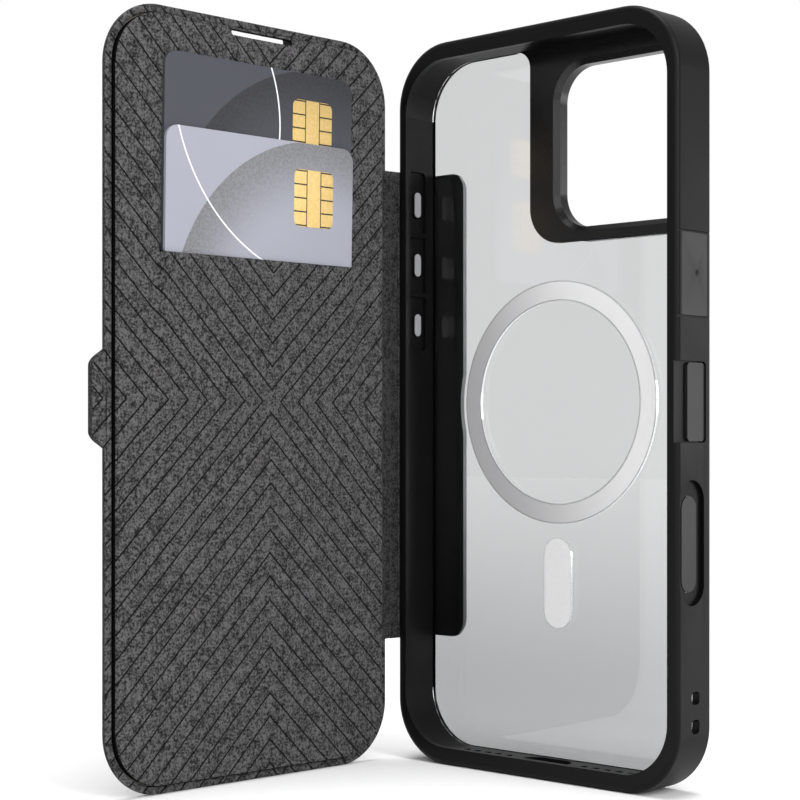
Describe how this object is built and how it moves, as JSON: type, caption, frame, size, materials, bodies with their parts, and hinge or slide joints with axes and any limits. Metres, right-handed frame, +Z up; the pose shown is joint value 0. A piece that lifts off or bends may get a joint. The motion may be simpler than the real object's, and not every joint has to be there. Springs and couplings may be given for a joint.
{
  "type": "phone wallet case",
  "caption": "Folio wallet case for a slab phone: black bumper with a clear magnetic back, and a hinged fabric cover that carries cards in a slit pocket.",
  "frame": {"origin": "centre of the open case's box, on the surface that its bottom edges stand on", "axes": "+Z up the phone's height, -Y out of the screen opening, +X across the phone towards its side button"},
  "size_m": [0.0882, 0.1006, 0.1694],
  "materials": {
    "bumper": "matte black soft-touch",
    "clear_panel": "clear polycarbonate, slightly frosted",
    "surround": "satin black",
    "ring_film": "white printed film",
    "magnet": "nickel plated",
    "grey_key": "light grey matte",
    "black_key": "matte black",
    "flap": "black coated fabric",
    "adhesive": "white adhesive film",
    "fabric": "charcoal woven felt",
    "skin": "charcoal woven felt",
    "board": "grey board",
    "foam": "grey foam",
    "card_light": "satin card laminate",
    "card_dark": "satin card laminate",
    "chip": "gold plated contacts"
  },
  "bodies": {
    "case": {"bumper_frame": "bumper", "back_panel": "clear_panel", "camera_surround": "surround", "ring_magnets": "magnet", "ring_cover": "ring_film", "alignment_magnet": "magnet", "alignment_cover": "ring_film", "closure_pad": "black_key", "closure_keeper": "magnet", "back_flap": "flap", "flap_adhesive": "adhesive"},
    "spine": {"spine_skin": "skin", "spine_stiffener": "board", "spine_lining": "flap", "back_crease": "flap"},
    "cover": {"cover_skin": "skin", "cover_board": "board", "cover_foam": "foam", "cover_lining": "fabric", "pocket_panel": "fabric", "closure_tab": "skin", "closure_magnets": "magnet", "front_crease": "skin"},
    "front_card": {"card_front": "card_light", "card_front_chip": "chip"},
    "rear_card": {"card_rear": "card_dark", "card_rear_chip": "chip"},
    "action_key": {"action_button": "grey_key"},
    "volume_up_key": {"volume_up_button": "grey_key"},
    "volume_down_key": {"volume_down_button": "grey_key"},
    "side_key": {"side_button": "black_key"},
    "camera_control_key": {"camera_control_pad": "black_key"}
  },
  "joints": [
    {"name": "spine_fold", "type": "hinge", "parent": "case", "child": "spine", "pos_m": [-0.038, 0.04908, 0.0847], "axis": [0, 0, 1], "range_deg": [-180, 0], "deforming": ["back_crease"]},
    {"name": "cover_fold", "type": "hinge", "parent": "spine", "child": "cover", "pos_m": [-0.0375, 0.03558, 0.0847], "axis": [0, 0, 1], "range_deg": [-87.6, 92.4], "deforming": ["front_crease"]},
    {"name": "front_card_slide", "type": "slide", "parent": "cover", "child": "front_card", "axis": [-0.0209, 0.0009, -0.9998], "range_m": [-0.115, 0.002]},
    {"name": "rear_card_slide", "type": "slide", "parent": "cover", "child": "rear_card", "axis": [-0.0209, 0.0009, -0.9998], "range_m": [-0.098, 0.0165]},
    {"name": "action_press", "type": "slide", "parent": "case", "child": "action_key", "axis": [1, 0, 0], "range_m": [0, 0.0004], "stiffness_N_per_m": 3000},
    {"name": "volume_up_press", "type": "slide", "parent": "case", "child": "volume_up_key", "axis": [1, 0, 0], "range_m": [0, 0.0004], "stiffness_N_per_m": 3000},
    {"name": "volume_down_press", "type": "slide", "parent": "case", "child": "volume_down_key", "axis": [1, 0, 0], "range_m": [0, 0.0004], "stiffness_N_per_m": 3000},
    {"name": "side_press", "type": "slide", "parent": "case", "child": "side_key", "axis": [-1, 0, 0], "range_m": [0, 0.0004], "stiffness_N_per_m": 3000},
    {"name": "camera_control_press", "type": "slide", "parent": "case", "child": "camera_control_key", "axis": [-1, 0, 0], "range_m": [0, 0.0003], "stiffness_N_per_m": 3000}
  ]
}
